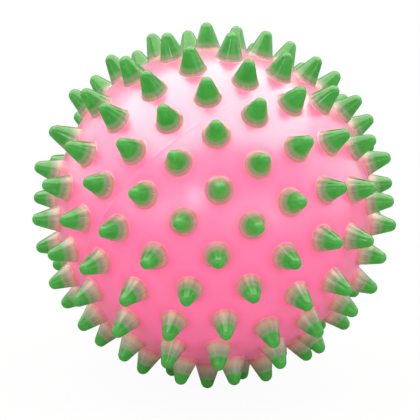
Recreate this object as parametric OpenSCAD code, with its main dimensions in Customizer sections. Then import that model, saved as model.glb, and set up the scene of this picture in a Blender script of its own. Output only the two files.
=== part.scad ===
// Soft spiky sensory ball: a hollow moulded skin with rings of round-ended spikes,
// a second colour fused on the end of every spike, and a valve with a pull-out plug.
// The origin is the ball's centre, and the ball stands on four of its spikes, +Z up.

/* [Ball] */
// Diameter of the skin between the spikes
ball_d = 77; // [70:1:110]
// Wall of the hollow skin
wall = 2.5; // [1.8:0.1:4]
// Width of the line that the mould's two halves left round the middle
seam_w = 0.5; // [0.3:0.1:1.2]
// How far that line stands out of the skin
seam_h = 0.08; // [0.05:0.01:0.3]
// Turn of the ball about the vertical, on the spikes that it stands on
ball_turn = -45; // [-180:1:180]

/* [Spikes] */
// Height of a spike above the skin
spike_h = 6.4; // [5:0.1:9]
// Diameter of a spike at the skin, without the flare of its foot
spike_d = 6.5; // [5:0.1:7]
// Diameter of the ball on which a spike's round end is turned
end_d = 3.1; // [2:0.1:4]
// Height of the flare at a spike's foot
foot_h = 0.3; // [0.1:0.1:0.6]
// Spikes in the widest ring
widest = 22; // [18:1:23]
// Angle between the two widest rings, across the mould line
seam_gap = 15; // [14:0.1:18]
// Turn of the back half's rings against the front half's
half_twist = -23; // [-90:1:90]

/* [Green ends] */
// Share of a spike's height that is green, at the ball's middle height
green_mid = 0.65; // [0.5:0.01:0.68]
// What the share gains at the very top of the ball and loses at the bottom
green_swing = 0.23; // [0:0.01:0.25]

/* [Valve seat] */
// Diameter of the seat where it passes through the skin
seat_d = 10; // [9:0.1:11]
// Length of the seat, from its outer face inwards
seat_len = 10; // [7.5:0.1:16]
// Chamfer round the seat's outer face
seat_rim = 0.4; // [0.2:0.1:0.6]
// Diameter of the seat's flange inside the ball
flange_d = 15; // [13:0.1:22]
// Thickness of that flange
flange_t = 1.5; // [1:0.1:2.5]
// Least thickness of the skin's flat pad that the flange is bonded to
pad_t = 0.3; // [0.2:0.1:1]
// Width of the pad outside the flange
pad_rim = 1; // [0.5:0.1:2]
// Bond line between the seat's tube and the hole in the skin
bond = 0.05; // [0.02:0.01:0.1]

/* [Valve plug] */
// Diameter of the plug's head
head_d = 7.2; // [6.4:0.1:7.4]
// Thickness of the head
head_t = 1.8; // [1.4:0.1:2.6]
// How far the head stands out of the seat, for a fingernail
head_proud = 0.6; // [0.3:0.1:1]
// Rounding chamfer on the head's edge and on the stem's end
head_edge = 0.5; // [0.2:0.1:0.8]
// Diameter of the plug's stem
stem_d = 4.8; // [4:0.1:5.4]
// How far the stem reaches past the seat, inside the ball
stem_past = 1.5; // [1:0.1:4]
// Gap all round the plug in its seat
plug_gap = 0.15; // [0.1:0.01:0.3]
// Bore for a pump needle
needle_d = 2; // [1.2:0.1:3]
// Width of the funnel at the bore's mouth
mouth_d = 3.2; // [3:0.1:3.8]
// Depth of that funnel
mouth_h = 0.8; // [0.4:0.1:1.4]
// Thickness of the lips that close the bore's inner end
lip_t = 2.6; // [1.5:0.1:4]

/* [Hidden] */
$fn = 64;

PINK = [0.95, 0.52, 0.63];
GREEN = [0.30, 0.62, 0.27];
PALE_PINK = [0.97, 0.68, 0.75];
MILKY = [0.93, 0.92, 0.89];

// Rings of spikes on each half, counted from its pole to the mould line
rings = 5;
ring_pitch = (90 - seam_gap / 2) / rings;
// Where each ring's first spike lies past the half's own start, as a share of the ring's step
front_stagger = [0, 0.68, 0.19, 0.5, 0.5, 0.07];
back_stagger = [0, 0.45, 0.19, 0.5, 0.5, 0.07];
// The ball stands on two spikes of this ring of the front half, and on two of the next
floor_ring = 3;

ball_r = ball_d / 2;
hollow_r = ball_r - wall;
spike_r = spike_d / 2;
end_r = end_d / 2;
end_z = spike_h - end_r;
// Lean of a spike's side, tangent to its round end
lean = atan2(spike_r, end_z) - asin(end_r / norm([spike_r, end_z]));
// Straight faces that make up the curve of a round end
end_steps = 7;
// How deep a spike's foot runs into the skin
root = wall / 2;

seat_r = seat_d / 2;
flange_r = flange_d / 2;
pad_r = flange_r + pad_rim;
// The pad's flat face, clear of the hollow's curve
pad_z = sqrt(pow(hollow_r, 2) - pow(pad_r, 2)) - pad_t;
seat_end = ball_r - seat_len;
head_r = head_d / 2;
head_top = ball_r + head_proud;
head_under = head_top - head_t;
stem_r = stem_d / 2;
stem_end = seat_end - stem_past;
needle_r = needle_d / 2;

// How a ring lies, seen from its own pole
function ring_polar(k) = k * ring_pitch;
function ring_count(k) = k == 0 ? 1 : round(widest * sin(ring_polar(k)));
function ring_step(k) = 360 / ring_count(k);

// The middle of the gap between two neighbours of a ring: its distance from the mould axis, and its height
function gap_spot(k) = [sin(ring_polar(k)) * cos(ring_step(k) / 2), cos(ring_polar(k))];

// Polar angle that faces the floor, square to the plane of the four lowest ends
floor_chord = gap_spot(floor_ring + 1) - gap_spot(floor_ring);
floor_polar = atan2(-floor_chord.y, floor_chord.x);
tilt = 180 - floor_polar;

// Polar angle and azimuth of every spike in a ring; azimuth 0 is the floor meridian
function ring_spots(front, k) = [
    for (i = [0 : ring_count(k) - 1])
        front
            ? [ring_polar(k), ring_step(k) * (i + front_stagger[k])]
            : [180 - ring_polar(k), ring_step(k) * (i + back_stagger[k]) + half_twist]
];

// How far up a spike points as the ball stands, from 1 at the top to -1 at the bottom
function up(spot) = cos(spot[0]) * cos(tilt) - sin(spot[0]) * cos(spot[1]) * sin(tilt);

// Height above the skin at which a spike turns from pink to green
function split_z(spot) = spike_h * (1 - green_mid - green_swing * up(spot));

// Radius of a spike's side at a height above the skin
function side_r(z) = spike_r - z * tan(lean);

// From the mould's axes to the way the ball stands
module stand() {
    rotate([0, 0, ball_turn])
        rotate([0, tilt, 0])
            children();
}

// On the skin at one spot, with the spike's axis as Z
module at_spot(spot) {
    rotate([0, spot[0], spot[1]])
        translate([0, 0, ball_r])
            children();
}

// On the valve's axis: the back pole, with Z outwards from the ball's centre
module at_valve() {
    stand()
        rotate([180, 0, 0])
            children();
}

// Pink part of a spike: a flared foot rooted in the skin and a tapered side up to the green
module spike_root(top) {
    foot = min(foot_h, top);
    rotate_extrude()
        polygon([
            [0, -root],
            [side_r(foot) + foot + root, -root],
            [side_r(foot), foot],
            [side_r(top), top],
            [0, top]
        ]);
}

// Green part of a spike: the rest of the taper and the round end
module spike_tip(bottom) {
    arc = [for (i = [0 : end_steps - 1]) lean + (90 - lean) * i / end_steps];
    rotate_extrude()
        polygon(concat(
            [[0, bottom], [side_r(bottom), bottom]],
            [for (a = arc) [end_r * cos(a), end_z + end_r * sin(a)]],
            [[0, spike_h]]
        ));
}

// The green ends of one ring
module ring_tips(front, k) {
    color(GREEN)
        stand()
            for (spot = ring_spots(front, k))
                at_spot(spot)
                    spike_tip(split_z(spot));
}

// The hollow skin with its mould line and the pink part of every spike.
// The back pole has the valve in place of a spike.
module skin_shell() {
    difference() {
        union() {
            sphere(ball_r);
            cylinder(h = seam_w, r = ball_r + seam_h, center = true);
            for (k = [0 : rings], spot = ring_spots(true, k))
                at_spot(spot)
                    spike_root(split_z(spot));
            for (k = [1 : rings], spot = ring_spots(false, k))
                at_spot(spot)
                    spike_root(split_z(spot));
        }
        sphere(hollow_r);
    }
}

module ball_skin() {
    color(PINK)
        difference() {
            union() {
                stand()
                    skin_shell();
                at_valve()
                    translate([0, 0, pad_z])
                        cylinder(h = hollow_r + root - pad_z, r = pad_r);
            }
            at_valve()
                cylinder(h = ball_r + spike_h, r = seat_r + bond);
        }
}

// Soft bush through the skin, with a flange bonded to the pad and a sunk seat for the plug's head
module valve_seat() {
    bore_r = stem_r + plug_gap;
    sink_r = head_r + plug_gap;
    color(PALE_PINK)
        at_valve()
            rotate_extrude()
                polygon([
                    [bore_r, seat_end],
                    [seat_r, seat_end],
                    [seat_r, pad_z - flange_t],
                    [flange_r, pad_z - flange_t],
                    [flange_r, pad_z],
                    [seat_r, pad_z],
                    [seat_r, ball_r - seat_rim],
                    [seat_r - seat_rim, ball_r],
                    [sink_r, ball_r],
                    [sink_r, head_under],
                    [bore_r, head_under]
                ]);
}

// Pull-out plug with a blind needle bore, closed at its inner end by soft lips
module valve_plug() {
    color(MILKY)
        at_valve()
            rotate_extrude()
                polygon([
                    [0, stem_end],
                    [stem_r - head_edge, stem_end],
                    [stem_r, stem_end + head_edge],
                    [stem_r, head_under],
                    [head_r, head_under],
                    [head_r, head_top - head_edge],
                    [head_r - head_edge, head_top],
                    [mouth_d / 2, head_top],
                    [needle_r, head_top - mouth_h],
                    [needle_r, stem_end + lip_t],
                    [0, stem_end + lip_t]
                ]);
}

ball_skin();
ring_tips(true, 0);  // front_pole_tip
ring_tips(true, 1);  // front_ring_1_tips
ring_tips(true, 2);  // front_ring_2_tips
ring_tips(true, 3);  // front_ring_3_tips
ring_tips(true, 4);  // front_ring_4_tips
ring_tips(true, 5);  // front_ring_5_tips
ring_tips(false, 5);  // back_ring_5_tips
ring_tips(false, 4);  // back_ring_4_tips
ring_tips(false, 3);  // back_ring_3_tips
ring_tips(false, 2);  // back_ring_2_tips
ring_tips(false, 1);  // back_ring_1_tips
valve_seat();
valve_plug();
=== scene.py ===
"""Looks of a soft spiky sensory ball.

It has a pink moulded skin, green ends fused on its spikes, and a pull-out valve plug.
"""

import logging
import math
import random
from dataclasses import dataclass, field
from enum import Enum
from typing import NamedTuple, Optional, Union

import bmesh
import bpy
from mathutils import Matrix, Vector
from mathutils.kdtree import KDTree


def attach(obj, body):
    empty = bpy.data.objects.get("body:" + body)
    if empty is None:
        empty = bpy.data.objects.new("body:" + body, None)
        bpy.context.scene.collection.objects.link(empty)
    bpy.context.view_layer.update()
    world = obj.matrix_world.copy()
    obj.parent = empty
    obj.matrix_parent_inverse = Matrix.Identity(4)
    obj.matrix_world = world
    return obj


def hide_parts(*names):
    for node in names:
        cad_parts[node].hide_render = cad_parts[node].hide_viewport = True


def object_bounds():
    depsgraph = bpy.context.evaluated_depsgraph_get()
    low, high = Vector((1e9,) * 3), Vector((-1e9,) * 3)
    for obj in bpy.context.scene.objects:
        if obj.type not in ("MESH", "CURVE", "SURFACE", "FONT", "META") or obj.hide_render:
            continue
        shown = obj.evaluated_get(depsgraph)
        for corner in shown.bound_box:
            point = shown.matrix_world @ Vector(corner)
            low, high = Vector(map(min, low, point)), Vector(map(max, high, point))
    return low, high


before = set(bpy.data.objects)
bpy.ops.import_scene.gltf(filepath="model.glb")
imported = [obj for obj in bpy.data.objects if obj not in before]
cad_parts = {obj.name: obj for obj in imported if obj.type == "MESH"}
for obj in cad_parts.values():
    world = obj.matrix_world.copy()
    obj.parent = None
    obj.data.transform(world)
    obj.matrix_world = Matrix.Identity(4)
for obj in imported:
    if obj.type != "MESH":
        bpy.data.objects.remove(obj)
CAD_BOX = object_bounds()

LOG = logging.getLogger("sensory_ball")
MM = 0.001
# Points nearer together than this become one.
WELD = 1e-7
# A point nearer than this to a spike's axis has no side of the spike to lie on.
ON_AXIS = 1e-6
# Points nearer than this to a cutting plane lie on it.
CUT_SLACK = 1e-6
# Edges sharper than this are rounded off.
BEVEL_ANGLE = math.radians(35)
# Edges sharper than this stay crisp in the shading.
CREASE_ANGLE = math.radians(42)
# Faces round a turned spike, and round the valve's pieces.
SPIKE_STEPS = 20
VALVE_STEPS = 48

Colour = tuple[float, float, float, float]
Span = tuple[float, float]
Term = Union["Wire", float, tuple]


def paint(red: int, green: int, blue: int) -> Colour:
    """Turns a screen colour into the linear colour that a shader takes.

    Args:
        red: Red from 0 to 255.
        green: Green from 0 to 255.
        blue: Blue from 0 to 255.

    Returns:
        The linear colour, opaque.
    """
    shares = [value / 255 for value in (red, green, blue)]
    linear = [s / 12.92 if s <= 0.04045 else ((s + 0.055) / 1.055) ** 2.4 for s in shares]
    return (linear[0], linear[1], linear[2], 1.0)


class Mark(Enum):
    """What the meshes tell their materials, stored on each vertex."""

    RISE = "rise"
    FOOT = "foot"
    MOULD = "mould"
    STREAK = "streak"


class Half(Enum):
    """The two halves of the mould."""

    FRONT = "front"
    BACK = "back"


class Wire:
    """A shader value that Python expressions can work on."""

    def __init__(self, bench: "Bench", socket: Optional[bpy.types.NodeSocket]) -> None:
        """Keeps the bench and the socket that the value comes from."""
        self.bench = bench
        self.socket = socket

    def other(self, out: str) -> "Wire":
        """Another output of the node that this value comes from."""
        return Wire(self.bench, self.socket.node.outputs[out])

    def _math(self, operation: str, first: Term, second: Term) -> "Wire":
        """Adds one Math node to the bench."""
        return self.bench.node("ShaderNodeMath", {"operation": operation}, {0: first, 1: second})

    def __add__(self, other: Term) -> "Wire":
        """This value plus another."""
        return self._math("ADD", self, other)

    def __radd__(self, other: Term) -> "Wire":
        """Another value plus this one."""
        return self._math("ADD", other, self)

    def __sub__(self, other: Term) -> "Wire":
        """This value less another."""
        return self._math("SUBTRACT", self, other)

    def __rsub__(self, other: Term) -> "Wire":
        """Another value less this one."""
        return self._math("SUBTRACT", other, self)

    def __mul__(self, other: Term) -> "Wire":
        """This value times another."""
        return self._math("MULTIPLY", self, other)

    def __rmul__(self, other: Term) -> "Wire":
        """Another value times this one."""
        return self._math("MULTIPLY", other, self)

    def between(self, low: float, high: float) -> "Wire":
        """Rises smoothly from 0 where this value is low to 1 where it is high.

        Args:
            low: Value at which the result is 0.
            high: Value at which the result is 1.

        Returns:
            The smoothed value.
        """
        sockets = {"Value": self, "From Min": low, "From Max": high}
        return self.bench.node("ShaderNodeMapRange", {"interpolation_type": "SMOOTHSTEP"}, sockets)

    def sway(self, reach: float) -> "Wire":
        """Swings about 0, over the given reach, where this value goes from 0 to 1."""
        return (self - 0.5) * reach


class Bench:
    """The node tree of a material or of the world, with the few moves that the finishes need."""

    def __init__(self, owner: Union[bpy.types.Material, bpy.types.World]) -> None:
        """Empties the owner's tree.

        Args:
            owner: Material or world that the tree belongs to.
        """
        self.owner = owner
        self.owner.use_nodes = True
        self.tree = self.owner.node_tree
        self.tree.nodes.clear()

    def node(self, kind: str, settings: Optional[dict] = None, sockets: Optional[dict] = None,
             out: Union[int, str] = 0) -> Wire:
        """Adds a node.

        Args:
            kind: Blender's name of the node's type.
            settings: Properties of the node, set before its sockets.
            sockets: Values or wires for its inputs, by name or number.
            out: The output that is handed back.

        Returns:
            The chosen output.
        """
        made = self.tree.nodes.new(kind)
        for key, value in (settings or {}).items():
            setattr(made, key, value)
        for key, value in (sockets or {}).items():
            if isinstance(value, Wire):
                self.tree.links.new(value.socket, made.inputs[key])
            else:
                made.inputs[key].default_value = value
        return Wire(self, made.outputs[out] if made.outputs else None)

    def place(self) -> Wire:
        """The point on the object, in metres."""
        return self.node("ShaderNodeTexCoord", out="Object")

    def mark(self, mark: Mark, out: str = "Fac") -> Wire:
        """A value stored on the mesh."""
        return self.node("ShaderNodeAttribute", {"attribute_name": mark.value}, out=out)

    def noise(self, where: Wire, scale: float, detail: float = 2.0) -> Wire:
        """Soft seeded mottling from 0 to 1.

        Args:
            where: Coordinates that the mottling follows.
            scale: Blotches per unit of length.
            detail: Finer layers added to it.

        Returns:
            The mottling.
        """
        return self.node("ShaderNodeTexNoise", sockets={"Vector": where, "Scale": scale, "Detail": detail})

    def mix(self, amount: Term, first: Term, second: Term) -> Wire:
        """Mixes two colours.

        Args:
            amount: Share of the second colour.
            first: Colour at 0.
            second: Colour at 1.

        Returns:
            The mixed colour.
        """
        return self.node("ShaderNodeMix", {"data_type": "RGBA"}, {0: amount, 6: first, 7: second}, out=2)

    def bump(self, height: Term, strength: float, depth: float, under: Optional[Wire] = None) -> Wire:
        """Turns a height into a surface normal.

        Args:
            height: Height from 0 to 1.
            strength: How much of it shows.
            depth: Real height of the relief in metres.
            under: A normal that this one is laid on.

        Returns:
            The normal.
        """
        sockets: dict = {"Height": height, "Strength": strength, "Distance": depth}
        if under is not None:
            sockets["Normal"] = under
        return self.node("ShaderNodeBump", sockets=sockets)

    def close(self, sockets: dict, settings: Optional[dict] = None) -> bpy.types.Material:
        """Ends the tree in a Principled shader.

        Args:
            sockets: Values and wires of that shader.
            settings: Properties of that shader.

        Returns:
            The finished material.
        """
        shader = self.node("ShaderNodeBsdfPrincipled", settings, sockets)
        self.node("ShaderNodeOutputMaterial", sockets={"Surface": shader})
        return self.owner


class Spike(NamedTuple):
    """One spike: where it points, how it stands on the skin, and where its green end begins."""

    axis: Vector
    place: Matrix
    split: float
    bend: Vector
    number: int


class Row(NamedTuple):
    """One ring of a turned shape, with what its material reads there."""

    radius: float
    height: float
    rise: float = 0.0


@dataclass(frozen=True)
class BallSizes:
    """The driving sizes of the ball and the rule by which its spikes lie in rings."""

    ball_r: float = 38.5 * MM
    wall: float = 2.5 * MM
    pad_r: float = 8.5 * MM
    pad_t: float = 0.3 * MM
    spike_h: float = 6.4 * MM
    spike_r: float = 3.25 * MM
    end_r: float = 1.55 * MM
    widest: int = 22
    rings: int = 5
    seam_gap: float = math.radians(15)
    half_twist: float = math.radians(-23)
    ball_turn: float = math.radians(-45)
    front_stagger: tuple[float, ...] = (0, 0.68, 0.19, 0.5, 0.5, 0.07)
    back_stagger: tuple[float, ...] = (0, 0.45, 0.19, 0.5, 0.5, 0.07)
    floor_ring: int = 3
    green_mid: float = 0.65
    green_swing: float = 0.23
    soft_bend: float = 0.22 * MM
    ring_numbers: int = 100
    half_numbers: int = 1000

    @property
    def hollow_r(self) -> float:
        """Radius of the hollow inside the skin."""
        return self.ball_r - self.wall

    @property
    def pad_rim(self) -> float:
        """Distance from the ball's centre at which the pad's edge meets the hollow."""
        return math.sqrt(self.hollow_r ** 2 - self.pad_r ** 2)

    @property
    def pad_z(self) -> float:
        """Distance of the pad's flat face from the ball's centre."""
        return self.pad_rim - self.pad_t

    @property
    def end_z(self) -> float:
        """Height of the centre of a spike's round end."""
        return self.spike_h - self.end_r

    @property
    def lean(self) -> float:
        """Lean of a spike's side, tangent to its round end."""
        reach = math.hypot(self.spike_r, self.end_z)
        return math.atan2(self.spike_r, self.end_z) - math.asin(self.end_r / reach)

    def ring_polar(self, ring: int) -> float:
        """Angle from a half's pole to one of its rings."""
        return ring * (math.pi / 2 - self.seam_gap / 2) / self.rings

    def ring_count(self, ring: int) -> int:
        """Spikes in a ring."""
        return 1 if ring == 0 else round(self.widest * math.sin(self.ring_polar(ring)))

    def gap_spot(self, ring: int) -> Vector:
        """Middle of the gap between two neighbours of a ring, in the plane through the mould axis."""
        polar = self.ring_polar(ring)
        return Vector((math.sin(polar) * math.cos(math.pi / self.ring_count(ring)), math.cos(polar)))

    def stand(self) -> Matrix:
        """Turns the mould's axes to the way the ball stands on four of its spikes.

        Returns:
            The turn.
        """
        chord = self.gap_spot(self.floor_ring + 1) - self.gap_spot(self.floor_ring)
        tilt = math.pi - math.atan2(-chord.y, chord.x)
        return Matrix.Rotation(self.ball_turn, 4, "Z") @ Matrix.Rotation(tilt, 4, "Y")

    def valve_place(self) -> Matrix:
        """Turns the valve's own axes to the back pole, with Z outwards from the ball's centre."""
        return self.stand() @ Matrix.Rotation(math.pi, 4, "X")

    def spikes(self, half: Half, ring: int) -> list[Spike]:
        """Lays out the spikes of one ring.

        Args:
            half: Half of the mould that the ring is on.
            ring: Ring, counted from that half's pole.

        Returns:
            The ring's spikes in order.
        """
        front = half is Half.FRONT
        polar = self.ring_polar(ring) if front else math.pi - self.ring_polar(ring)
        first = self.front_stagger[ring] if front else self.back_stagger[ring]
        start = 0.0 if front else self.half_twist
        first_number = self.ring_numbers * ring + (0 if front else self.half_numbers)
        count = self.ring_count(ring)
        chance = random.Random(f"{half.value} {ring}")
        made = []
        for index in range(count):
            turn = math.tau / count * (index + first) + start
            aim = self.stand() @ Matrix.Rotation(turn, 4, "Z") @ Matrix.Rotation(polar, 4, "Y")
            axis = aim.to_3x3() @ Vector((0, 0, 1))
            split = self.spike_h * (1 - self.green_mid - self.green_swing * axis.z)
            way = chance.uniform(0, math.tau)
            bend = Vector((math.cos(way), math.sin(way), 0)) * self.soft_bend * chance.random()
            place = aim @ Matrix.Translation((0, 0, self.ball_r))
            made.append(Spike(axis, place, split, bend, first_number + index))
        return made

    def all_spikes(self) -> list[Spike]:
        """Lays out every spike of the ball; the back pole has the valve instead of one.

        Returns:
            The front half's spikes, then the back half's, each from the pole to the mould line.
        """
        front = [spike for ring in range(self.rings + 1) for spike in self.spikes(Half.FRONT, ring)]
        back = [spike for ring in range(1, self.rings + 1) for spike in self.spikes(Half.BACK, ring)]
        return front + back

    def side_r(self, height: float) -> float:
        """Radius of a spike's side at a height above the skin."""
        return self.spike_r - height * math.tan(self.lean)

    def skin_z(self, radius: float) -> float:
        """Height of the round skin at a distance from a spike's axis, from the skin's top there."""
        return math.sqrt(self.ball_r ** 2 - radius ** 2) - self.ball_r


class Turnery:
    """Turns rows into round shapes and joins them into a larger mesh."""

    number_step: float = 0.37

    def __init__(self, steps: int) -> None:
        """Sets how many faces go round a shape."""
        self.steps = steps

    @staticmethod
    def blank() -> bmesh.types.BMesh:
        """Starts an empty mesh with a place for every mark.

        Returns:
            The empty mesh.
        """
        shape = bmesh.new()
        for mark in (Mark.RISE, Mark.FOOT, Mark.MOULD):
            shape.verts.layers.float.new(mark.value)
        shape.verts.layers.float_vector.new(Mark.STREAK.value)
        return shape

    def turn(self, rows: list[Row], ring_shape: bool = False) -> bmesh.types.BMesh:
        """Spins a row of points about Z.

        Args:
            rows: Points of the outline.
            ring_shape: True where the outline closes on itself away from the axis.

        Returns:
            The turned shape, with its rows' marks.
        """
        shape = self.blank()
        rise = shape.verts.layers.float[Mark.RISE.value]
        chain = []
        for row in rows:
            point = shape.verts.new((row.radius, 0, row.height))
            point[rise] = row.rise
            chain.append(point)
        pairs = list(zip(chain, chain[1:]))
        if ring_shape:
            pairs.append((chain[-1], chain[0]))
        lines = [shape.edges.new(pair) for pair in pairs]
        bmesh.ops.spin(shape, geom=chain + lines, cent=(0, 0, 0), axis=(0, 0, 1), dvec=(0, 0, 0),
                       angle=math.tau, steps=self.steps, use_merge=True)
        bmesh.ops.remove_doubles(shape, verts=shape.verts, dist=WELD)
        bmesh.ops.recalc_face_normals(shape, faces=shape.faces)
        return shape

    def seat_spike(self, shape: bmesh.types.BMesh, spike: Spike, height: float) -> None:
        """Gives a turned spike its marks round the axis and its slight bend, and puts it in its place.

        Args:
            shape: The turned spike, with the skin at height 0.
            spike: Where it goes.
            height: Full height of a spike.
        """
        streak = shape.verts.layers.float_vector[Mark.STREAK.value]
        for point in shape.verts:
            way = Vector((point.co.x, point.co.y, 0))
            way = way.normalized() if way.length > ON_AXIS else way
            point[streak] = (way.x, way.y, spike.number * self.number_step)
            point.co += spike.bend * (max(point.co.z, 0) / height) ** 2
        bmesh.ops.transform(shape, matrix=spike.place, verts=shape.verts)

    @staticmethod
    def join(whole: bmesh.types.BMesh, shape: bmesh.types.BMesh) -> None:
        """Adds a shape to a larger mesh and frees it.

        Args:
            whole: The larger mesh.
            shape: The shape.
        """
        carrier = bpy.data.meshes.new("carrier")
        shape.to_mesh(carrier)
        shape.free()
        whole.from_mesh(carrier)
        bpy.data.meshes.remove(carrier)

    @staticmethod
    def soften(shape: bmesh.types.BMesh, reach: float, segments: int = 3) -> None:
        """Rounds every hard edge of a turned shape.

        Args:
            shape: The shape.
            reach: Width of the rounding.
            segments: Faces across it.
        """
        hard = []
        for edge in shape.edges:
            if edge.is_manifold and edge.calc_face_angle() > BEVEL_ANGLE:
                hard.append(edge)
        bmesh.ops.bevel(shape, geom=hard, offset=reach, offset_type="OFFSET", affect="EDGES",
                        segments=segments, profile=0.5, material=-1, clamp_overlap=True)

    @staticmethod
    def shelve(shape: bmesh.types.BMesh, name: str) -> bpy.types.Object:
        """Makes a finished mesh an object, smooth but for its hard edges.

        Args:
            shape: The finished mesh, which is freed.
            name: Name of the piece.

        Returns:
            The new object, at the origin.
        """
        bmesh.ops.remove_doubles(shape, verts=shape.verts, dist=WELD)
        bmesh.ops.recalc_face_normals(shape, faces=shape.faces)
        for face in shape.faces:
            face.smooth = True
        for edge in shape.edges:
            edge.smooth = not (edge.is_manifold and edge.calc_face_angle() > CREASE_ANGLE)
        mesh = bpy.data.meshes.new(name)
        shape.to_mesh(mesh)
        shape.free()
        piece = bpy.data.objects.new(name, mesh)
        bpy.context.scene.collection.objects.link(piece)
        LOG.info("%s: %d vertices, %d faces", name, len(mesh.vertices), len(mesh.polygons))
        return piece


@dataclass(frozen=True)
class SkinVinyl:
    """Satin pink vinyl of the skin, which turns peach, beige and grey up a spike to the green.

    A span says where a change sets in and where it is full. The spans of the painted shade round a
    spike's foot, a deeper pink and a darker ring, are millimetres from the foot. Those of the peach,
    beige and grey colours and of the painted highlight streaks are shares of the way up to the green.
    """

    pink: Colour = paint(255, 111, 167)
    # Painted shade: the deeper pink that the skin turns near each spike's foot.
    foot_shade_pink: Colour = paint(254, 90, 147)
    pale_pink: Colour = paint(255, 120, 172)
    # Painted shadow: the darker pink of the ring right at each spike's foot.
    foot_shadow: Colour = paint(240, 98, 138)
    peach: Colour = paint(206, 118, 124)
    beige: Colour = paint(182, 153, 126)
    grey: Colour = paint(128, 141, 109)
    # Painted highlight: the pale colour of the glint streaks along the spikes' stubs.
    worn: Colour = paint(218, 204, 182)
    speck: Colour = paint(120, 84, 92)
    roughness: float = 0.34
    patchy: float = 0.08
    stub_polish: float = 0.11
    peel: float = 0.015 * MM
    peel_strength: float = 0.3
    ribs: float = 0.2 * MM
    rib_strength: float = 0.6
    ior: float = 1.53
    coat_ior: float = 1.75
    coat_roughness: float = 0.28
    bare_stub: float = 0.45
    bare_span: Span = (0.0, 0.12)
    scatter: float = 0.75
    scatter_reach: tuple[float, float, float] = (1.0, 0.2, 0.35)
    scatter_depth: float = 10.0 * MM
    cloud_scale: float = 55.0
    cloud_span: Span = (0.3, 0.72)
    cloud_amount: float = 0.4
    # Spans and amounts of the painted shade and painted shadow round the spikes' feet.
    foot_shade_span: Span = (0.0, 2.4)
    foot_shade_amount: float = 0.4
    foot_shadow_span: Span = (0.0, 0.9)
    foot_shadow_amount: float = 0.3
    mould_amount: float = 0.25
    grain_scale: float = 1400.0
    dust_scale: float = 160.0
    dust_span: Span = (0.02, 0.035)
    dust_pick: Span = (0.9, 0.91)
    dust_amount: float = 0.6
    spike_span: Span = (0.02, 0.2)
    peach_span: Span = (0.0, 0.1)
    beige_span: Span = (0.08, 0.38)
    grey_span: Span = (0.34, 0.92)
    # Where the painted highlight streaks show, as shares of the way up to the green.
    worn_span: Span = (0.15, 0.45)
    line_scale: float = 13.0
    line_wander: float = 0.1
    # Painted highlight streaks: pale lengthwise strokes, then faint pale bands across the stubs.
    highlight_line_span: Span = (0.56, 0.72)
    highlight_line_amount: float = 0.45
    highlight_bands: float = 9.0
    highlight_rub_span: Span = (0.5, 0.75)
    highlight_rub_amount: float = 0.08

    def make(self) -> bpy.types.Material:
        """Builds the material.

        Returns:
            The skin's material.
        """
        bench = Bench(bpy.data.materials.new("skin_vinyl"))
        place = bench.place()
        rise = bench.mark(Mark.RISE)
        foot = bench.mark(Mark.FOOT)
        mould = bench.mark(Mark.MOULD)
        streak = bench.mark(Mark.STREAK, "Vector")
        streak_number = bench.node("ShaderNodeSeparateXYZ", sockets={"Vector": streak}, out="Z")
        cloud = bench.noise(place, self.cloud_scale, detail=3.0)
        fine = bench.noise(place, self.grain_scale)
        lines = bench.noise(streak, self.line_scale)
        on_spike = rise.between(*self.spike_span)

        skin = bench.mix(cloud.between(*self.cloud_span) * self.cloud_amount, self.pink, self.pale_pink)
        # Painted shade: the pink turns deeper near each spike's foot and darker in a ring right at the
        # foot, where shade falls.
        skin = bench.mix((1 - foot.between(*self.foot_shade_span)) * self.foot_shade_amount, skin, self.foot_shade_pink)
        skin = bench.mix((1 - foot.between(*self.foot_shadow_span)) * self.foot_shadow_amount, skin, self.foot_shadow)
        skin = bench.mix(mould * self.mould_amount, skin, self.pale_pink)
        spread = {"Vector": place, "Scale": self.dust_scale}
        dust = bench.node("ShaderNodeTexVoronoi", sockets=spread, out="Distance")
        pick = bench.node("ShaderNodeSeparateColor", sockets={"Color": dust.other("Color")})
        specks = (1 - dust.between(*self.dust_span)) * pick.between(*self.dust_pick) * (1 - on_spike)
        skin = bench.mix(specks * self.dust_amount, skin, self.speck)

        up = rise + lines.sway(self.line_wander)
        stub = bench.mix(up.between(*self.peach_span), skin, self.peach)
        stub = bench.mix(up.between(*self.beige_span), stub, self.beige)
        stub = bench.mix(up.between(*self.grey_span), stub, self.grey)
        band = bench.node("ShaderNodeCombineXYZ", sockets={"X": rise * self.highlight_bands, "Y": streak_number})
        # Painted highlight: pale lengthwise strokes and faint bands across the stubs stand in for glints on
        # their ridges.
        highlight_strokes = lines.between(*self.highlight_line_span) * self.highlight_line_amount
        highlight_rubs = bench.noise(band, 1.0, detail=1.0).between(*self.highlight_rub_span) * self.highlight_rub_amount
        stub = bench.mix((highlight_strokes + highlight_rubs) * rise.between(*self.worn_span), stub, self.worn)

        gloss = self.roughness + cloud.sway(self.patchy) - on_spike * self.stub_polish
        relief = bench.bump(fine, self.peel_strength, self.peel)
        relief = bench.bump(lines * on_spike, self.rib_strength, self.ribs, relief)
        return bench.close({
            "Base Color": stub,
            "Roughness": gloss,
            "Normal": relief,
            "IOR": self.ior,
            "Coat Weight": 1 - rise.between(*self.bare_span) * self.bare_stub,
            "Coat IOR": self.coat_ior,
            "Coat Roughness": self.coat_roughness,
            "Subsurface Weight": self.scatter,
            "Subsurface Radius": self.scatter_reach,
            "Subsurface Scale": self.scatter_depth,
        }, {"subsurface_method": "BURLEY"})


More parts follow.
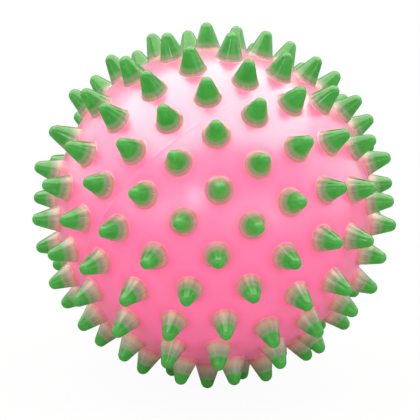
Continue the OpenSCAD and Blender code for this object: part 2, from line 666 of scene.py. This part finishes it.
@dataclass(frozen=True)
class TipVinyl:
    """Smooth green vinyl of the spikes' ends, greyer where it thins out over the pink."""

    green: Colour = paint(65, 160, 60)
    deep_green: Colour = paint(54, 148, 53)
    thin_green: Colour = paint(132, 160, 111)
    light_green: Colour = paint(90, 178, 84)
    roughness: float = 0.14
    patchy: float = 0.08
    dents: float = 0.05 * MM
    dent_strength: float = 0.25
    ior: float = 1.53
    shine: float = 0.38
    coat: float = 0.12
    coat_roughness: float = 0.4
    scatter: float = 0.2
    scatter_reach: tuple[float, float, float] = (0.5, 1.0, 0.45)
    scatter_depth: float = 1.0 * MM
    cloud_scale: float = 260.0
    cloud_span: Span = (0.32, 0.7)
    grain_scale: float = 700.0
    light_span: Span = (0.56, 0.74)
    light_amount: float = 0.4
    line_scale: float = 5.0
    line_wander: float = 0.06
    thin_span: Span = (0.0, 0.26)

    def make(self) -> bpy.types.Material:
        """Builds the material.

        Returns:
            The green ends' material.
        """
        bench = Bench(bpy.data.materials.new("tip_vinyl"))
        place = bench.place()
        rise = bench.mark(Mark.RISE)
        streak = bench.mark(Mark.STREAK, "Vector")
        cloud = bench.noise(place, self.cloud_scale, detail=3.0)
        fine = bench.noise(place, self.grain_scale)
        lines = bench.noise(streak, self.line_scale, detail=1.0)
        body = bench.mix(cloud.between(*self.cloud_span), self.deep_green, self.green)
        edge = 1 - (rise + lines.sway(self.line_wander)).between(*self.thin_span)
        body = bench.mix(fine.between(*self.light_span) * self.light_amount, body, self.light_green)
        body = bench.mix(edge, body, self.thin_green)
        gloss = self.roughness + cloud.sway(self.patchy)
        relief = bench.bump(fine, self.dent_strength, self.dents)
        return bench.close({
            "Base Color": body,
            "Roughness": gloss,
            "Normal": relief,
            "IOR": self.ior,
            "Specular IOR Level": self.shine,
            "Coat Weight": self.coat,
            "Coat Roughness": self.coat_roughness,
            "Subsurface Weight": self.scatter,
            "Subsurface Radius": self.scatter_reach,
            "Subsurface Scale": self.scatter_depth,
        })


@dataclass(frozen=True)
class SeatVinyl:
    """Pale pink vinyl of the valve's bush, a little cloudy."""

    pink: Colour = paint(250, 168, 190)
    shade: Colour = paint(240, 140, 168)
    roughness: float = 0.4
    patchy: float = 0.2
    shine: float = 0.25
    grain: float = 0.02 * MM
    grain_strength: float = 0.4
    scatter: float = 0.2
    scatter_reach: tuple[float, float, float] = (1.0, 0.5, 0.55)
    scatter_depth: float = 1.0 * MM
    cloud_scale: float = 320.0
    cloud_span: Span = (0.3, 0.7)
    grain_scale: float = 1800.0

    def make(self) -> bpy.types.Material:
        """Builds the material.

        Returns:
            The seat's material.
        """
        bench = Bench(bpy.data.materials.new("seat_vinyl"))
        place = bench.place()
        cloud = bench.noise(place, self.cloud_scale, detail=3.0)
        fine = bench.noise(place, self.grain_scale)
        return bench.close({
            "Base Color": bench.mix(cloud.between(*self.cloud_span), self.shade, self.pink),
            "Roughness": self.roughness + cloud.sway(self.patchy),
            "Normal": bench.bump(fine, self.grain_strength, self.grain),
            "Specular IOR Level": self.shine,
            "Subsurface Weight": self.scatter,
            "Subsurface Radius": self.scatter_reach,
            "Subsurface Scale": self.scatter_depth,
        })


@dataclass(frozen=True)
class PlugRubber:
    """Milky rubber of the plug, yellowed in patches."""

    milk: Colour = paint(230, 225, 212)
    aged: Colour = paint(212, 200, 176)
    roughness: float = 0.46
    patchy: float = 0.2
    shine: float = 0.25
    grain: float = 0.02 * MM
    grain_strength: float = 0.4
    scatter: float = 0.3
    scatter_reach: tuple[float, float, float] = (1.0, 0.9, 0.7)
    scatter_depth: float = 1.0 * MM
    cloud_scale: float = 380.0
    aged_span: Span = (0.35, 0.75)
    aged_amount: float = 0.7
    grain_scale: float = 2200.0

    def make(self) -> bpy.types.Material:
        """Builds the material.

        Returns:
            The plug's material.
        """
        bench = Bench(bpy.data.materials.new("plug_rubber"))
        place = bench.place()
        cloud = bench.noise(place, self.cloud_scale, detail=4.0)
        fine = bench.noise(place, self.grain_scale)
        yellowed = cloud.between(*self.aged_span) * self.aged_amount
        return bench.close({
            "Base Color": bench.mix(yellowed, self.milk, self.aged),
            "Roughness": self.roughness + cloud.sway(self.patchy),
            "Normal": bench.bump(fine, self.grain_strength, self.grain),
            "Specular IOR Level": self.shine,
            "Subsurface Weight": self.scatter,
            "Subsurface Radius": self.scatter_reach,
            "Subsurface Scale": self.scatter_depth,
        })


@dataclass
class BallSkin:
    """The hollow pink moulding with the pink part of every spike, its mould line and its valve hole."""

    sizes: BallSizes
    finish: SkinVinyl = field(default_factory=SkinVinyl)
    turnery: Turnery = field(default_factory=lambda: Turnery(SPIKE_STEPS))
    neck_turnery: Turnery = field(default_factory=lambda: Turnery(VALVE_STEPS))
    fineness: int = 7
    hollow_fineness: int = 5
    seam_w: float = 0.5 * MM
    seam_h: float = 0.06 * MM
    foot_r: float = 3.5 * MM
    foot_h: float = 0.35 * MM
    foot_share: float = 0.9
    foot_rows: int = 4
    margin: float = 0.2 * MM
    hole_r: float = 5.05 * MM
    hole_lip: float = 0.12 * MM
    deep_share: float = 0.6

    def build(self) -> bpy.types.Object:
        """Makes the skin as one closed shell.

        Returns:
            The dressed skin, riding on the ball.
        """
        spikes = self.sizes.all_spikes()
        valve = self.sizes.valve_place().to_3x3() @ Vector((0, 0, 1))
        spots = KDTree(len(spikes) + 1)
        for index, axis in enumerate([spike.axis for spike in spikes] + [valve]):
            spots.insert(axis * self.sizes.ball_r, index)
        spots.balance()

        shell = Turnery.blank()
        bmesh.ops.create_icosphere(shell, subdivisions=self.fineness, radius=self.sizes.ball_r,
                                   matrix=self.sizes.stand())
        self._mould_line(shell)
        self._open_feet(shell, spots, len(spikes))
        for spike in spikes:
            root = self.turnery.turn(self._root_rows(spike.split))
            self.turnery.seat_spike(root, spike, self.sizes.spike_h)
            Turnery.join(shell, root)
        self._valve_neck(shell)
        self._hollow(shell, valve)
        self._close_rings(shell, spots, [spike.axis for spike in spikes] + [valve])

        piece = Turnery.shelve(shell, "skin")
        piece.data.materials.append(self.finish.make())
        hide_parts("ball_skin")
        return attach(piece, "ball")

    def _mould_line(self, shell: bmesh.types.BMesh) -> None:
        """Cuts the skin along the mould's parting plane and raises a fine line there.

        Args:
            shell: The round skin.
        """
        axis = self.sizes.stand().to_3x3() @ Vector((0, 0, 1))
        for offset in (-self.seam_w / 2, 0.0, self.seam_w / 2):
            everything = shell.verts[:] + shell.edges[:] + shell.faces[:]
            bmesh.ops.bisect_plane(shell, geom=everything, dist=CUT_SLACK, plane_co=axis * offset,
                                   plane_no=axis)
        mould = shell.verts.layers.float[Mark.MOULD.value]
        for point in shell.verts:
            on_line = abs(point.co.dot(axis)) < self.seam_w / 10
            point[mould] = 1.0 if on_line else 0.0
            point.co = point.co.normalized() * (self.sizes.ball_r + (self.seam_h if on_line else 0))

    def _open_feet(self, shell: bmesh.types.BMesh, spots: KDTree, valve_index: int) -> None:
        """Opens the skin under every spike and at the valve.

        Args:
            shell: The round skin.
            spots: Places of the spikes and of the valve on the skin.
            valve_index: Which of those places is the valve's.
        """
        foot = shell.verts.layers.float[Mark.FOOT.value]
        inside = set()
        for point in shell.verts:
            _, gap = self._nearest_rim(point.co, spots, valve_index)
            point[foot] = max(0.0, gap / MM)
            if gap < self.margin:
                inside.add(point)
        cut = [face for face in shell.faces if any(point in inside for point in face.verts)]
        bmesh.ops.delete(shell, geom=cut, context="FACES")

    def _nearest_rim(self, place: Vector, spots: KDTree, valve_index: int) -> tuple[int, float]:
        """Finds the opening whose rim is nearest to a point of the skin.

        Args:
            place: The point.
            spots: Places of the spikes and of the valve on the skin.
            valve_index: Which of those places is the valve's.

        Returns:
            The opening's number, and the distance to its rim, which is below 0 inside it.
        """
        gaps = []
        for _, index, away in spots.find_n(place.normalized() * self.sizes.ball_r, 2):
            gaps.append((away - (self.hole_r if index == valve_index else self.foot_r), index))
        gap, nearest = min(gaps)
        return nearest, gap

    def _root_rows(self, split: float) -> list[Row]:
        """Outline of a spike's pink part, from its soft foot to the flat face under the green.

        Args:
            split: Height at which the green begins.

        Returns:
            The rows from the foot to the middle of that face.
        """
        sizes = self.sizes
        top = min(self.foot_h, self.foot_share * split)
        start = Vector((self.foot_r, sizes.skin_z(self.foot_r)))
        knee_z = sizes.skin_z(sizes.spike_r)
        knee = Vector((sizes.side_r(knee_z), knee_z))
        end = Vector((sizes.side_r(top), top))
        rows = []
        for step in range(self.foot_rows + 1):
            part = step / self.foot_rows
            rows.append(start * (1 - part) ** 2 + knee * 2 * part * (1 - part) + end * part ** 2)
        rows.append(Vector((sizes.side_r(split), split)))
        rows.append(Vector((0, split)))
        return [Row(p.x, p.y, (p.y - start.y) / (split - start.y)) for p in rows]

    def _valve_neck(self, shell: bmesh.types.BMesh) -> None:
        """Adds the wall of the valve hole and the flat pad round it inside.

        Args:
            shell: The skin, open at the valve.
        """
        sizes = self.sizes
        outer = self.hole_r + self.hole_lip
        rows = [
            Row(outer, math.sqrt(sizes.ball_r ** 2 - outer ** 2)),
            Row(self.hole_r, math.sqrt(sizes.ball_r ** 2 - self.hole_r ** 2) - self.hole_lip),
            Row(self.hole_r, sizes.pad_z),
            Row(sizes.pad_r, sizes.pad_z),
            Row(sizes.pad_r, sizes.pad_rim),
        ]
        neck = self.neck_turnery.turn(rows)
        bmesh.ops.transform(neck, matrix=sizes.valve_place(), verts=neck.verts)
        Turnery.join(shell, neck)

    def _hollow(self, shell: bmesh.types.BMesh, valve: Vector) -> None:
        """Adds the inner face of the wall, open at the pad.

        Args:
            shell: The skin.
            valve: Direction of the valve from the ball's centre.
        """
        hollow = Turnery.blank()
        bmesh.ops.create_icosphere(hollow, subdivisions=self.hollow_fineness, radius=self.sizes.hollow_r,
                                   matrix=Matrix.Identity(4))
        middle = valve * self.sizes.hollow_r
        reach = self.sizes.pad_r + self.margin * 2
        inside = {point for point in hollow.verts if (point.co - middle).length < reach}
        cut = [face for face in hollow.faces if any(point in inside for point in face.verts)]
        bmesh.ops.delete(hollow, geom=cut, context="FACES")
        Turnery.join(shell, hollow)

    def _close_rings(self, shell: bmesh.types.BMesh, spots: KDTree, axes: list[Vector]) -> None:
        """Fills the skin between every opening and the shape that stands in it.

        Args:
            shell: The skin with its spikes and valve neck.
            spots: Places of the spikes and of the valve on the skin.
            axes: Their directions, in the same order.
        """
        valve_index = len(axes) - 1
        deep = self.sizes.ball_r - self.sizes.wall * self.deep_share
        groups: dict[tuple[int, bool], list[bmesh.types.BMEdge]] = {}
        for edge in shell.edges:
            if edge.is_boundary:
                middle = (edge.verts[0].co + edge.verts[1].co) / 2
                within = middle.length < deep
                index = valve_index if within else self._nearest_rim(middle, spots, valve_index)[0]
                groups.setdefault((index, within), []).append(edge)
        for (index, _), rim in groups.items():
            bmesh.ops.triangle_fill(shell, edges=rim, use_beauty=True, use_dissolve=False,
                                    normal=axes[index])


@dataclass
class TipRing:
    """The green ends of one ring of spikes."""

    sizes: BallSizes
    half: Half
    ring: int
    material: bpy.types.Material
    turnery: Turnery = field(default_factory=lambda: Turnery(SPIKE_STEPS))
    end_rows: int = 5

    @property
    def node(self) -> str:
        """Name of the ring's own solid."""
        return "front_pole_tip" if self.ring == 0 else f"{self.half.value}_ring_{self.ring}_tips"

    def build(self) -> bpy.types.Object:
        """Makes the ring's ends.

        Returns:
            The dressed ends, riding on the ball.
        """
        ends = Turnery.blank()
        for spike in self.sizes.spikes(self.half, self.ring):
            end = self.turnery.turn(self._rows(spike.split))
            self.turnery.seat_spike(end, spike, self.sizes.spike_h)
            Turnery.join(ends, end)
        piece = Turnery.shelve(ends, f"{self.half.value}_{self.ring}_green_ends")
        piece.data.materials.append(self.material)
        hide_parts(self.node)
        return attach(piece, "ball")

    def _rows(self, split: float) -> list[Row]:
        """Outline of a green end, from the middle of its flat face over its side to its round top.

        Args:
            split: Height at which the green begins.

        Returns:
            The rows in order.
        """
        sizes = self.sizes
        points = [Vector((0, split)), Vector((sizes.side_r(split), split))]
        for step in range(self.end_rows):
            turn = sizes.lean + (math.pi / 2 - sizes.lean) * step / self.end_rows
            height = sizes.end_z + sizes.end_r * math.sin(turn)
            points.append(Vector((sizes.end_r * math.cos(turn), height)))
        points.append(Vector((0, sizes.spike_h)))
        return [Row(p.x, p.y, (p.y - split) / (sizes.spike_h - split)) for p in points]


@dataclass
class Valve:
    """The soft bush through the skin and the plug that pulls out of it."""

    sizes: BallSizes
    seat_finish: SeatVinyl = field(default_factory=SeatVinyl)
    plug_finish: PlugRubber = field(default_factory=PlugRubber)
    turnery: Turnery = field(default_factory=lambda: Turnery(VALVE_STEPS))
    seat_r: float = 5.0 * MM
    seat_len: float = 10.0 * MM
    seat_rim: float = 0.35 * MM
    seat_rounding: float = 0.22 * MM
    flange_r: float = 7.5 * MM
    flange_t: float = 1.5 * MM
    head_r: float = 3.6 * MM
    head_t: float = 1.8 * MM
    head_proud: float = 0.6 * MM
    head_edge: float = 0.45 * MM
    plug_rounding: float = 0.16 * MM
    stem_r: float = 2.4 * MM
    stem_past: float = 1.5 * MM
    plug_gap: float = 0.15 * MM
    needle_r: float = 1.0 * MM
    mouth_r: float = 1.6 * MM
    mouth_h: float = 0.8 * MM
    lip_t: float = 2.6 * MM
    groove: float = 0.2 * MM

    @property
    def head_under(self) -> float:
        """Distance of the head's underside from the ball's centre."""
        return self.sizes.ball_r + self.head_proud - self.head_t

    @property
    def seat_end(self) -> float:
        """Distance of the seat's inner end from the ball's centre."""
        return self.sizes.ball_r - self.seat_len

    def build(self) -> list[bpy.types.Object]:
        """Makes the seat and the plug.

        Returns:
            The seat, riding on the ball, and the plug, riding on its own body.
        """
        seat = self._piece(self._seat_rows(), True, self.seat_rounding, "valve_bush")
        seat.data.materials.append(self.seat_finish.make())
        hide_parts("valve_seat")
        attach(seat, "ball")
        plug = self._piece(self._plug_rows(), False, self.plug_rounding, "plug")
        plug.data.materials.append(self.plug_finish.make())
        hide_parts("valve_plug")
        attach(plug, "plug")
        return [seat, plug]

    def _piece(self, rows: list[Row], ring_shape: bool, reach: float, name: str) -> bpy.types.Object:
        """Turns an outline, rounds its edges and puts it on the valve's axis.

        Args:
            rows: The outline.
            ring_shape: True where it closes on itself away from the axis.
            reach: Width of the rounded edges.
            name: Name of the piece.

        Returns:
            The piece.
        """
        shape = self.turnery.turn(rows, ring_shape)
        Turnery.soften(shape, reach)
        bmesh.ops.transform(shape, matrix=self.sizes.valve_place(), verts=shape.verts)
        return Turnery.shelve(shape, name)

    def _seat_rows(self) -> list[Row]:
        """Outline of the seat: a tube with a sunk face for the plug's head and a flange inside.

        Returns:
            The rows, which close on themselves.
        """
        top = self.sizes.ball_r
        pad_z = self.sizes.pad_z
        bore_r = self.stem_r + self.plug_gap
        sink_r = self.head_r + self.plug_gap
        return [
            Row(bore_r, self.seat_end),
            Row(self.seat_r, self.seat_end),
            Row(self.seat_r, pad_z - self.flange_t),
            Row(self.flange_r, pad_z - self.flange_t),
            Row(self.flange_r, pad_z),
            Row(self.seat_r, pad_z),
            Row(self.seat_r, top - self.seat_rim),
            Row(self.seat_r - self.seat_rim, top),
            Row(sink_r, top),
            Row(sink_r, self.head_under),
            Row(bore_r, self.head_under),
        ]

    def _plug_rows(self) -> list[Row]:
        """Outline of the plug: a blind stem and a grooved head with a funnel for the needle.

        Returns:
            The rows from the stem's end to the bottom of the needle bore.
        """
        top = self.sizes.ball_r + self.head_proud
        foot = self.seat_end - self.stem_past
        edge = self.head_edge
        ring_r = (self.head_r + self.mouth_r) / 2
        return [
            Row(0, foot),
            Row(self.stem_r - edge, foot),
            Row(self.stem_r, foot + edge),
            Row(self.stem_r, self.head_under),
            Row(self.head_r, self.head_under),
            Row(self.head_r, top - edge),
            Row(self.head_r - edge, top),
            Row(ring_r + self.groove, top),
            Row(ring_r, top - self.groove),
            Row(ring_r - self.groove, top),
            Row(self.mouth_r, top),
            Row(self.needle_r, top - self.mouth_h),
            Row(self.needle_r, foot + self.lip_t),
            Row(0, foot + self.lip_t),
        ]


@dataclass(frozen=True)
class Softbox:
    """A soft lamp, with a card just before it that shows in gloss alone."""

    name: str
    spot: Vector
    width: float
    depth: float
    level: float
    shine: float = 0.0
    tint: tuple[float, float, float] = (1.0, 1.0, 1.0)
    nearer: float = 0.97

    def hang(self) -> None:
        """Hangs the lamp, and its card a little nearer, so that they face the ball."""
        self._face(self.name, self.spot, self.level, True)
        if self.shine > 0:
            self._face(f"{self.name}_card", self.spot * self.nearer, self.shine, False)

    def _face(self, name: str, spot: Vector, level: float, lights: bool) -> None:
        """Makes one bright face.

        Args:
            name: Name of the face.
            spot: Where its middle hangs.
            level: How bright it is.
            lights: True where it lights the ball, and isn't only mirrored in it.
        """
        lamp = bpy.data.lights.new(name, "AREA")
        lamp.shape = "RECTANGLE"
        lamp.size = self.width
        lamp.size_y = self.depth
        lamp.color = self.tint
        lamp.energy = math.pi * self.width * self.depth * level
        holder = bpy.data.objects.new(name, lamp)
        holder.location = spot
        holder.rotation_euler = (-spot).to_track_quat("-Z", "Y").to_euler()
        holder.visible_camera = False
        holder.visible_diffuse = lights
        bpy.context.scene.collection.objects.link(holder)


@dataclass
class Studio:
    """Plain pale floor, white room, soft lamps above, behind at the sides and in front, and the camera."""

    floor_size: float = 8.0
    floor_tone: Colour = (0.86, 0.86, 0.86, 1.0)
    floor_white: float = 0.95
    floor_mirror: float = 0.82
    elevation: float = math.radians(13.65)
    azimuth: float = math.radians(0.16)
    roll: float = math.radians(2.38)
    away: float = 0.6118
    lens: float = 214.0
    sensor: float = 36.0
    nearest: float = 0.01
    farthest: float = 50.0
    aim_right: float = 3.85
    aim_up: float = 4.28
    picture: float = 420.0
    room_light: float = 0.9
    floor_gloss: float = 0.1
    room_gloss: float = 0.55
    white: Colour = (1.0, 1.0, 1.0, 1.0)
    warm: tuple[float, float, float] = (1.0, 0.97, 0.8)
    mild: tuple[float, float, float] = (1.0, 0.98, 0.92)

    def build(self) -> None:
        """Sets up floor, lights, room and camera."""
        bpy.context.scene.view_settings.view_transform = "Standard"
        self._floor()
        self._room()
        for lamp in self._lamps():
            lamp.hang()
        self._camera()

    def _lamps(self) -> list[Softbox]:
        """Lists the lamps: one overhead, two behind at the sides, two in front, and a small key lamp.

        Returns:
            The lamps in the order in which they are hung.
        """
        return [
            Softbox("overhead", Vector((-0.02, 0.09, 0.62)), width=1.5, depth=1.05, level=0.8,
                    shine=3.2, tint=self.warm),
            Softbox("left_panel", Vector((-1.0, 0.4, 0.32)), width=1.3, depth=1.0, level=0.3,
                    shine=0.7, tint=self.mild),
            Softbox("right_panel", Vector((1.0, 0.4, 0.32)), width=1.3, depth=1.0, level=0.3,
                    shine=0.7, tint=self.mild),
            Softbox("front_left_panel", Vector((-0.95, -1.15, 0.1)), width=1.6, depth=0.6, level=1.3),
            Softbox("front_right_panel", Vector((0.95, -1.15, 0.1)), width=1.6, depth=0.6, level=1.3),
            Softbox("key_lamp", Vector((-0.21, -0.92, 0.33)), width=0.12, depth=0.18, level=1.0, shine=8.0),
        ]

    def _floor(self) -> None:
        """Lays a pale floor at the height of the spikes that the ball stands on."""
        shape = bmesh.new()
        bmesh.ops.create_grid(shape, x_segments=2, y_segments=2, size=self.floor_size / 2)
        bmesh.ops.translate(shape, vec=(0, 0, CAD_BOX[0].z), verts=shape.verts)
        floor = Turnery.shelve(shape, "floor")
        bench = Bench(bpy.data.materials.new("pale_floor"))
        lit = bench.node("ShaderNodeBsdfDiffuse", sockets={"Color": self.floor_tone})
        camera = bench.node("ShaderNodeLightPath", out="Is Camera Ray")
        gloss = camera.other("Is Glossy Ray") + camera.other("Is Transmission Ray")
        seen = camera + gloss * self.floor_gloss
        white = bench.node("ShaderNodeEmission", sockets={"Color": self.white, "Strength": seen})
        share = camera * self.floor_white + gloss * self.floor_mirror
        mixed = bench.node("ShaderNodeMixShader", sockets={0: share, 1: lit, 2: white})
        bench.node("ShaderNodeOutputMaterial", sockets={"Surface": mixed})
        floor.data.materials.append(bench.owner)

    def _room(self) -> None:
        """Fills the room with soft white light, which is also the white behind the ball."""
        bench = Bench(bpy.data.worlds.new("white_room"))
        camera = bench.node("ShaderNodeLightPath", out="Is Camera Ray")
        gloss = camera.other("Is Glossy Ray") + camera.other("Is Transmission Ray")
        plain = {"Color": self.white, "Strength": self.room_light}
        light = bench.node("ShaderNodeBackground", sockets=plain)
        seen = camera + gloss * self.room_gloss
        white = bench.node("ShaderNodeBackground", sockets={"Color": self.white, "Strength": seen})
        mixed = bench.node("ShaderNodeMixShader", sockets={0: camera + gloss, 1: light, 2: white})
        bench.node("ShaderNodeOutputWorld", sockets={"Surface": mixed})
        bpy.context.scene.world = bench.owner

    def _camera(self) -> None:
        """Puts the camera where the photo was taken from."""
        data = bpy.data.cameras.new("camera")
        data.sensor_width = self.sensor
        data.lens = self.lens
        data.shift_x = -self.aim_right / self.picture
        data.shift_y = -self.aim_up / self.picture
        data.clip_start = self.nearest
        data.clip_end = self.farthest
        camera = bpy.data.objects.new("camera", data)
        swing = Matrix.Rotation(self.azimuth, 4, "Z")
        tip = Matrix.Rotation(math.pi / 2 - self.elevation, 4, "X")
        roll = Matrix.Rotation(self.roll, 4, "Z")
        camera.matrix_world = swing @ tip @ roll @ Matrix.Translation((0, 0, self.away))
        bpy.context.scene.collection.objects.link(camera)
        bpy.context.scene.camera = camera


def main() -> None:
    """Builds the ball piece by piece, then the studio round it."""
    logging.basicConfig(level=logging.INFO, format="%(name)s: %(message)s")
    sizes = BallSizes()
    BallSkin(sizes).build()
    green = TipVinyl().make()
    for ring in range(sizes.rings + 1):
        TipRing(sizes, Half.FRONT, ring, green).build()
    for ring in range(sizes.rings, 0, -1):
        TipRing(sizes, Half.BACK, ring, green).build()
    Valve(sizes).build()
    Studio().build()


if __name__ == "__main__":
    main()
